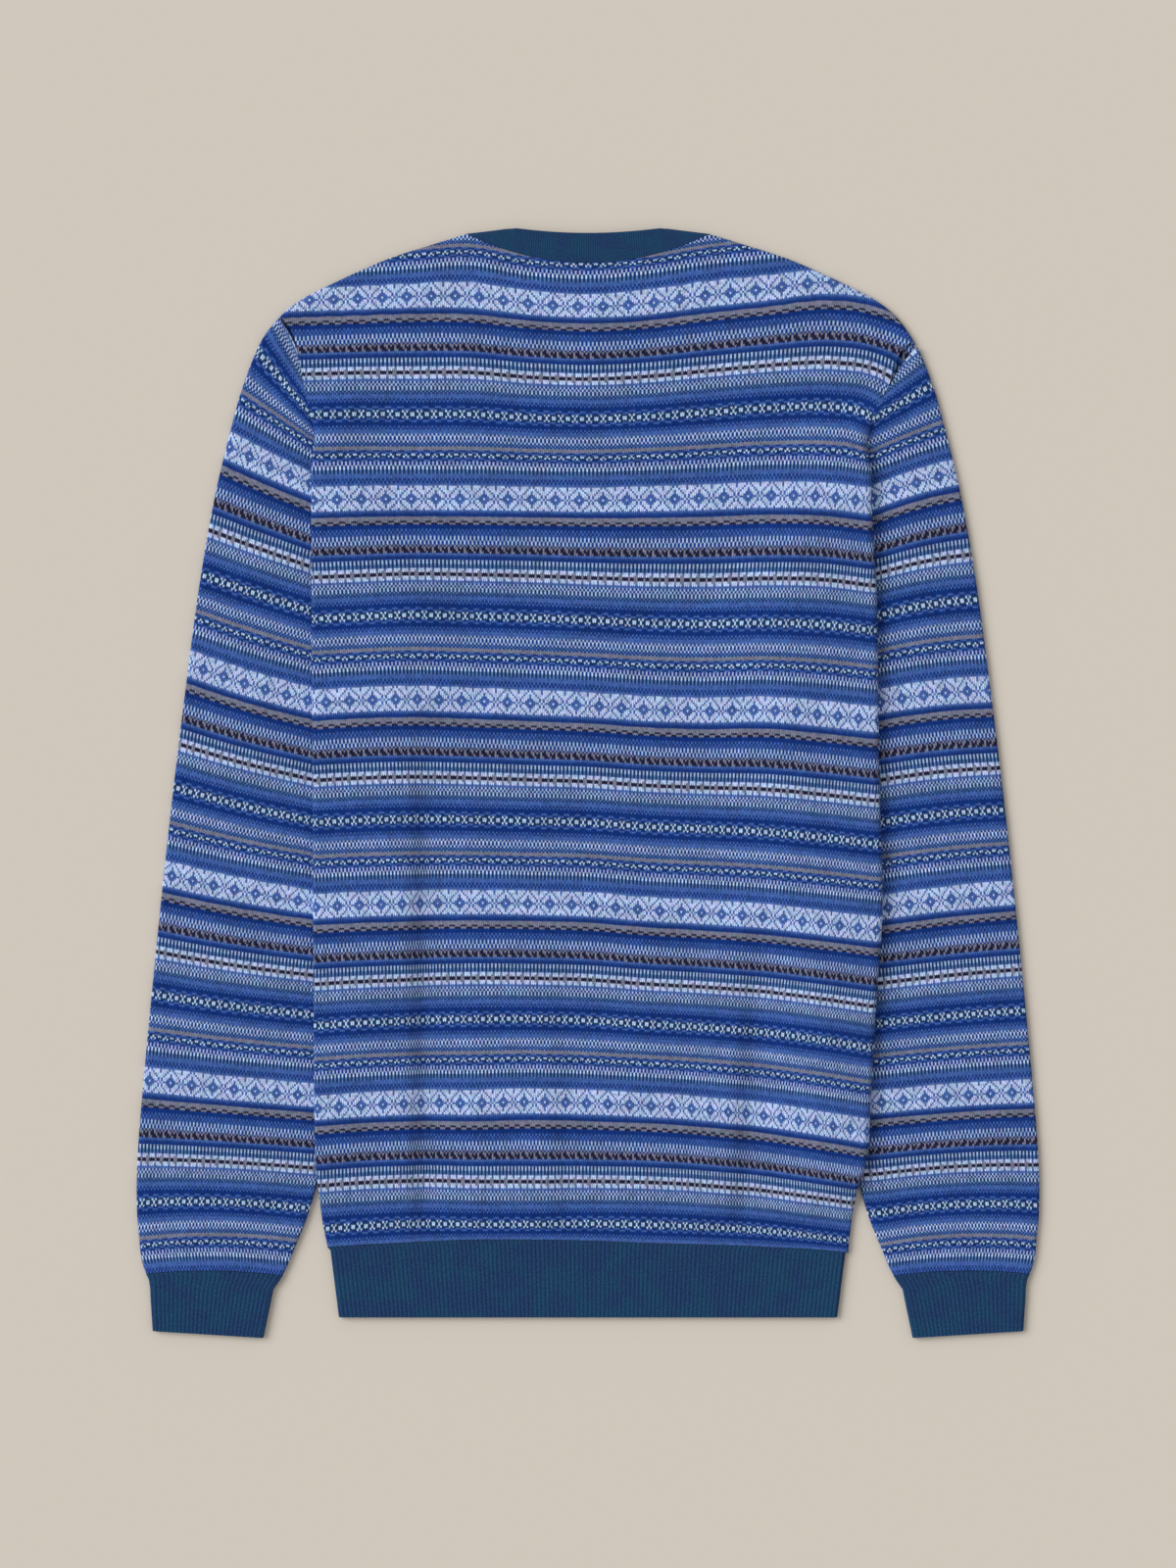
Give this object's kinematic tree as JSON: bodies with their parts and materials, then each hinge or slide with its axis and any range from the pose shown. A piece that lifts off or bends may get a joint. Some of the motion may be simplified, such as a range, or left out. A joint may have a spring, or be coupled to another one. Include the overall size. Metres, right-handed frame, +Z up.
{
  "type": "fair isle jumper",
  "caption": "Fine-knit crew-neck jumper with all-over fair isle bands and long sleeves, laid flat with its back up.",
  "frame": {"origin": "the middle of the outline, on the surface that the jumper lies on", "axes": "+X towards the wearer's right, +Y from the hem towards the neck, +Z up, away from the surface"},
  "size_m": [0.5706, 0.702, 0.0146],
  "materials": {
    "patterned_knit": "soft stranded knit in blues, white and taupe",
    "ribbed_knit": "soft marled rib, teal blue"
  },
  "bodies": {
    "root": {"back": "patterned_knit", "front": "patterned_knit", "left_sleeve": "patterned_knit", "right_sleeve": "patterned_knit", "left_cuff": "ribbed_knit", "right_cuff": "ribbed_knit", "collar": "ribbed_knit", "hem_rib": "ribbed_knit"}
  },
  "joints": []
}
